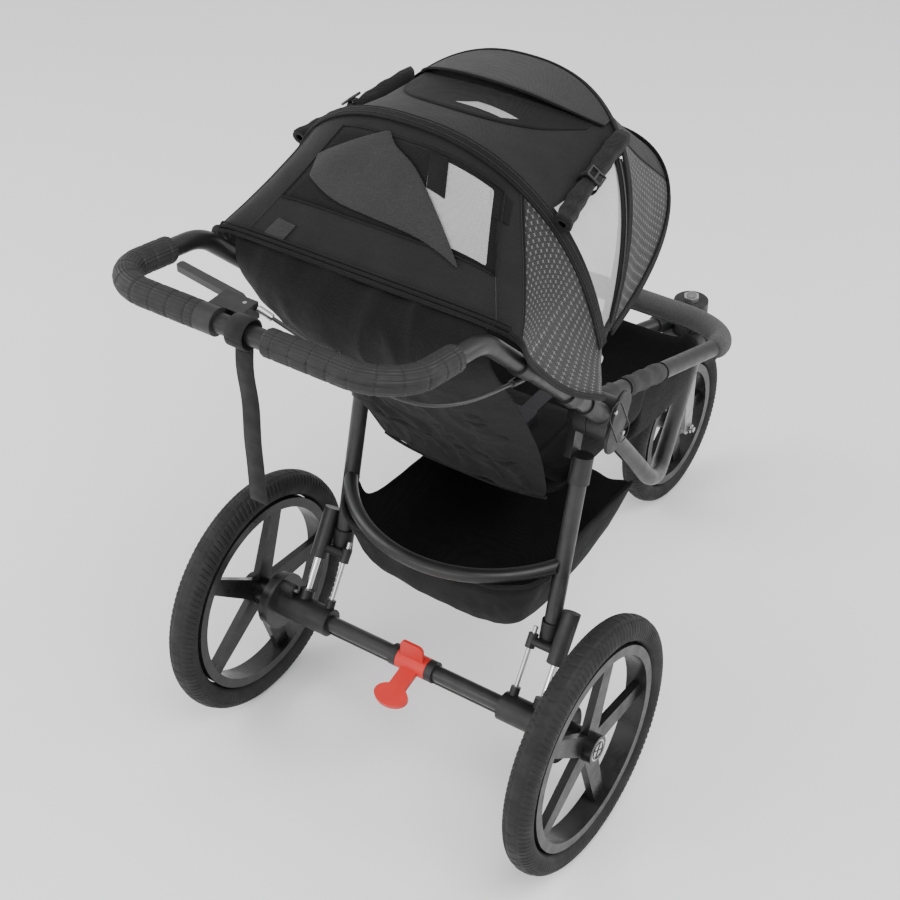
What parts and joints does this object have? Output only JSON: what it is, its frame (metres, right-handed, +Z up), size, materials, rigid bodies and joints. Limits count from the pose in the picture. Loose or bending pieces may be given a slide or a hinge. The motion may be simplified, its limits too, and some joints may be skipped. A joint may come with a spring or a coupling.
{
  "type": "jogging stroller",
  "caption": "Three-wheeled folding stroller with a bent handlebar, padded seat, hooped folding canopy, storage basket, sprung rear axle and swivelling front wheel.",
  "frame": {"origin": "on the floor under the middle of the stroller's bounding box", "axes": "+X to the stroller's own left, -Y forward towards the front wheel, +Y back towards the handlebar, +Z up"},
  "size_m": [0.641, 1.281, 1.0915],
  "materials": {
    "black_tube": "satin powder coat",
    "silver_tube": "silver powder coat",
    "foam_grip": "closed-cell foam",
    "black_plastic": "moulded matte",
    "wheel_plastic": "moulded satin",
    "fork_paint": "grey paint",
    "rubber_tread": "pneumatic tyre rubber",
    "steel": "zinc plated",
    "chrome_rod": "polished",
    "silver_cap": "silver plastic",
    "red_plastic": "moulded satin red",
    "cable_sleeve": "cable outer",
    "dark_fabric": "woven polyester",
    "webbing": "woven webbing"
  },
  "bodies": {
    "base_frame": {"hinge_knuckles": "black_plastic", "seat_ring_tube": "silver_tube", "down_tubes": "black_tube", "swivel_housing": "black_plastic", "swivel_bushes": "black_plastic", "hinge_bolts": "steel", "seat_sling": "dark_fabric", "footwell": "dark_fabric", "seat_cushion": "dark_fabric", "harness_buckle": "black_plastic", "ring_pad": "dark_fabric", "ring_sleeves": "dark_fabric", "basket_tub": "dark_fabric"},
    "upper_frame": {"handle_tube": "black_tube", "handle_grips": "foam_grip", "handle_knuckles": "black_plastic", "hinge_covers": "black_plastic", "canopy_mounts": "black_plastic", "canopy_pins": "steel", "canopy_rear_panel": "dark_fabric", "brake_lever_clamp": "black_plastic", "lever_pin_and_adjuster": "steel", "brake_cable": "cable_sleeve", "cable_guide": "black_plastic", "wrist_strap": "webbing"},
    "canopy_rear": {"canopy_rear_bow": "black_plastic", "canopy_top": "dark_fabric"},
    "canopy_mid": {"canopy_mid_bow": "black_plastic", "canopy_visor": "dark_fabric"},
    "canopy_front": {"canopy_front_bow": "black_plastic"},
    "seat_back": {"backrest": "dark_fabric", "shoulder_straps": "webbing"},
    "hand_lever": {"brake_lever": "black_plastic"},
    "leg_frame": {"leg_tops": "black_plastic", "rear_legs": "black_tube", "shock_brackets": "black_plastic", "crossbar": "black_tube", "basket_rear_panel": "dark_fabric"},
    "rear_axle": {"rear_axle_tube": "black_tube", "axle_blocks": "black_plastic", "shock_rods": "chrome_rod", "guide_rods": "steel", "stub_axles": "steel", "brake_plates": "black_plastic", "pedal_collars": "black_plastic", "axle_cable": "cable_sleeve"},
    "foot_pedal": {"brake_pedal": "red_plastic"},
    "left_pin": {"brake_pin_left": "steel"},
    "right_pin": {"brake_pin_right": "steel"},
    "left_wheel": {"rear_wheel_left": "wheel_plastic", "rear_tyre_left": "rubber_tread"},
    "right_wheel": {"rear_wheel_right": "wheel_plastic", "rear_tyre_right": "rubber_tread"},
    "left_cap": {"release_cap_left": "silver_cap"},
    "right_cap": {"release_cap_right": "silver_cap"},
    "fork": {"front_fork": "fork_paint", "fork_nuts": "steel", "front_axle": "steel"},
    "nose_wheel": {"front_wheel": "wheel_plastic", "front_tyre": "rubber_tread"}
  },
  "joints": [
    {"name": "handle_fold", "type": "hinge", "parent": "base_frame", "child": "upper_frame", "pos_m": [0, 0.142, 0.64], "axis": [1, 0, 0], "range_deg": [0, 130]},
    {"name": "leg_fold", "type": "hinge", "parent": "base_frame", "child": "leg_frame", "pos_m": [0, 0.142, 0.64], "axis": [1, 0, 0], "range_deg": [-23, 0]},
    {"name": "rear_suspension", "type": "slide", "parent": "leg_frame", "child": "rear_axle", "axis": [0, -0.5525, 0.8335], "range_m": [0, 0.014], "stiffness_N_per_m": 5000, "springref_m": -0.03},
    {"name": "left_wheel_spin", "type": "hinge", "parent": "rear_axle", "child": "left_wheel", "pos_m": [0.298, 0.312, 0.2], "axis": [1, 0, 0], "continuous": true},
    {"name": "right_wheel_spin", "type": "hinge", "parent": "rear_axle", "child": "right_wheel", "pos_m": [-0.298, 0.312, 0.2], "axis": [1, 0, 0], "continuous": true},
    {"name": "left_cap_press", "type": "slide", "parent": "left_wheel", "child": "left_cap", "axis": [-1, 0, 0], "range_m": [0, 0.003], "stiffness_N_per_m": 600, "springref_m": -0.002},
    {"name": "right_cap_press", "type": "slide", "parent": "right_wheel", "child": "right_cap", "axis": [1, 0, 0], "range_m": [0, 0.003], "stiffness_N_per_m": 600, "springref_m": -0.002},
    {"name": "pedal_press", "type": "hinge", "parent": "rear_axle", "child": "foot_pedal", "pos_m": [0, 0.312, 0.2], "axis": [-1, 0, 0], "range_deg": [0, 25]},
    {"name": "left_pin_slide", "type": "slide", "parent": "rear_axle", "child": "left_pin", "axis": [1, 0, 0], "range_m": [0, 0.008]},
    {"name": "right_pin_slide", "type": "slide", "parent": "rear_axle", "child": "right_pin", "axis": [-1, 0, 0], "range_m": [0, 0.008]},
    {"name": "backrest_recline", "type": "hinge", "parent": "upper_frame", "child": "seat_back", "pos_m": [0, 0.152, 0.47], "axis": [-1, 0, 0], "range_deg": [-23, 0]},
    {"name": "canopy_rear_fold", "type": "hinge", "parent": "upper_frame", "child": "canopy_rear", "pos_m": [0, 0.208, 0.783], "axis": [-1, 0, 0], "range_deg": [0, 32], "deforming": ["canopy_rear_panel"]},
    {"name": "canopy_mid_fold", "type": "hinge", "parent": "canopy_rear", "child": "canopy_mid", "pos_m": [0, 0.208, 0.783], "axis": [-1, 0, 0], "range_deg": [0, 43], "deforming": ["canopy_top"]},
    {"name": "canopy_front_fold", "type": "hinge", "parent": "canopy_mid", "child": "canopy_front", "pos_m": [0, 0.208, 0.783], "axis": [-1, 0, 0], "range_deg": [0, 36], "deforming": ["canopy_visor"]},
    {"name": "brake_lever_squeeze", "type": "hinge", "parent": "upper_frame", "child": "hand_lever", "pos_m": [0.026, 0.585, 0.973], "axis": [0, 0, 1], "range_deg": [0, 15], "stiffness_Nm_per_rad": 0.4, "springref_deg": -17.19},
    {"name": "fork_swivel", "type": "hinge", "parent": "base_frame", "child": "fork", "pos_m": [0, -0.531, 0.36], "axis": [0, 0, 1], "continuous": true},
    {"name": "front_wheel_spin", "type": "hinge", "parent": "fork", "child": "nose_wheel", "pos_m": [0, -0.4885, 0.152], "axis": [1, 0, 0], "continuous": true}
  ],
  "couplings": [
    {"joint": "leg_fold", "follows": "handle_fold", "ratio": -0.17},
    {"joint": "canopy_rear_fold", "follows": "handle_fold", "ratio": 0.246},
    {"joint": "canopy_mid_fold", "follows": "handle_fold", "ratio": 0.33},
    {"joint": "canopy_front_fold", "follows": "handle_fold", "ratio": 0.276},
    {"joint": "left_pin_slide", "follows": "pedal_press", "m_per_rad": 0.0183},
    {"joint": "right_pin_slide", "follows": "pedal_press", "m_per_rad": 0.0183}
  ]
}
